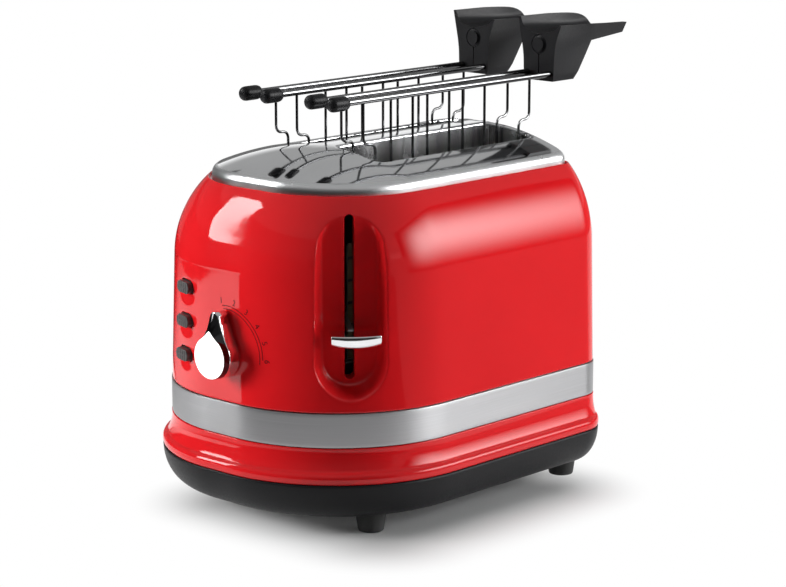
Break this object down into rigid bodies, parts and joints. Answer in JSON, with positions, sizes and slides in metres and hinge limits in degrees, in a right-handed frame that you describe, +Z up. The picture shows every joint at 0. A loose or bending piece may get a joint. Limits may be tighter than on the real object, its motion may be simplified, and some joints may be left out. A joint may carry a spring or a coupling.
{
  "type": "toaster",
  "caption": "Rounded two-slot toaster with lift lever, browning knob, push buttons, crumb tray and lift-out sandwich tongs in its slots.",
  "frame": {"origin": "middle of the object's box, on the surface that the feet stand on", "axes": "+X along the bread slots from the control end to the back, +Y across to the buttons' side, +Z up"},
  "size_m": [0.3108, 0.1948, 0.265],
  "materials": {
    "red_paint": "gloss enamel",
    "chrome": "mirror chrome",
    "stainless": "brushed",
    "black_plastic": "satin",
    "foot_rubber": "matt",
    "zinc_steel": "bright zinc",
    "bright_steel": "bright",
    "mica": "mica sheet",
    "heater_wire": "oxidised ribbon",
    "magnet_iron": "plain iron",
    "copper_wire": "enamelled copper",
    "circuit_board": "solder resist",
    "switch_black": "moulded",
    "button_grey": "satin ribbed",
    "knob_face": "mirror chrome",
    "grip_black": "fine satin"
  },
  "bodies": {
    "housing": {"shell": "red_paint", "top_plate": "chrome", "trim_band": "stainless", "skirt": "red_paint", "base_tray": "black_plastic", "feet": "foot_rubber", "base_screws": "bright_steel", "cord_inlet": "foot_rubber", "front_bulkhead": "zinc_steel", "rear_bulkhead": "zinc_steel", "reflector_front": "zinc_steel", "reflector_rear": "zinc_steel", "heater_board_front": "mica", "heater_board_centre": "mica", "heater_board_rear": "mica", "heater_ribbons": "heater_wire", "bread_guides_front": "zinc_steel", "bread_guides_rear": "zinc_steel", "guide_rod": "bright_steel", "lift_spring": "bright_steel", "latch_magnet": "magnet_iron", "latch_coil": "copper_wire", "control_bracket": "black_plastic", "control_board": "circuit_board", "tact_switches": "switch_black", "potentiometer": "switch_black"},
    "lift": {"carriage": "zinc_steel", "bread_rack_front": "zinc_steel", "bread_rack_rear": "zinc_steel", "lever_arm": "zinc_steel", "lever_paddle": "chrome", "latch_keeper": "magnet_iron"},
    "stop_key": {"stop_button": "button_grey"},
    "reheat_key": {"reheat_button": "button_grey"},
    "defrost_key": {"defrost_button": "button_grey"},
    "knob": {"knob_body": "chrome", "knob_cap": "knob_face", "knob_shaft": "bright_steel"},
    "crumb_drawer": {"crumb_tray": "zinc_steel", "tray_handle": "black_plastic"},
    "front_tongs": {"front_tongs_far_grid": "chrome", "front_tongs_far_grip": "grip_black", "front_tongs_far_tip": "grip_black", "front_tongs_pin": "grip_black", "front_tongs_spring": "bright_steel"},
    "front_tongs_jaw": {"front_tongs_near_grid": "chrome", "front_tongs_near_grip": "grip_black", "front_tongs_near_tip": "grip_black"},
    "rear_tongs": {"rear_tongs_near_grid": "chrome", "rear_tongs_near_grip": "grip_black", "rear_tongs_near_tip": "grip_black", "rear_tongs_pin": "grip_black", "rear_tongs_spring": "bright_steel"},
    "rear_tongs_jaw": {"rear_tongs_far_grid": "chrome", "rear_tongs_far_grip": "grip_black", "rear_tongs_far_tip": "grip_black"}
  },
  "joints": [
    {"name": "lift_lever", "type": "slide", "parent": "housing", "child": "lift", "axis": [0, 0, 1], "range_m": [-0.02, 0.06], "deforming": ["lift_spring"]},
    {"name": "stop_press", "type": "slide", "parent": "housing", "child": "stop_key", "axis": [1, 0, 0], "range_m": [0, 0.002], "stiffness_N_per_m": 300},
    {"name": "reheat_press", "type": "slide", "parent": "housing", "child": "reheat_key", "axis": [1, 0, 0], "range_m": [0, 0.002], "stiffness_N_per_m": 300},
    {"name": "defrost_press", "type": "slide", "parent": "housing", "child": "defrost_key", "axis": [1, 0, 0], "range_m": [0, 0.002], "stiffness_N_per_m": 300},
    {"name": "browning_knob", "type": "hinge", "parent": "housing", "child": "knob", "pos_m": [-0.14366, -0.0014, 0.0971], "axis": [1, 0, 0], "range_deg": [-15, 105]},
    {"name": "crumb_tray_slide", "type": "slide", "parent": "housing", "child": "crumb_drawer", "axis": [1, 0, 0], "range_m": [0, 0.13]},
    {"name": "front_tongs_lift", "type": "slide", "parent": "housing", "child": "front_tongs", "axis": [0, 0, 1], "range_m": [0, 0.12]},
    {"name": "front_tongs_open", "type": "hinge", "parent": "front_tongs", "child": "front_tongs_jaw", "pos_m": [0.09136, -0.0258, 0.249], "axis": [-1, 0, 0], "range_deg": [0, 3], "stiffness_Nm_per_rad": 0.6},
    {"name": "rear_tongs_lift", "type": "slide", "parent": "housing", "child": "rear_tongs", "axis": [0, 0, 1], "range_m": [0, 0.12]},
    {"name": "rear_tongs_open", "type": "hinge", "parent": "rear_tongs", "child": "rear_tongs_jaw", "pos_m": [0.09136, 0.0258, 0.249], "axis": [1, 0, 0], "range_deg": [0, 3], "stiffness_Nm_per_rad": 0.6}
  ]
}
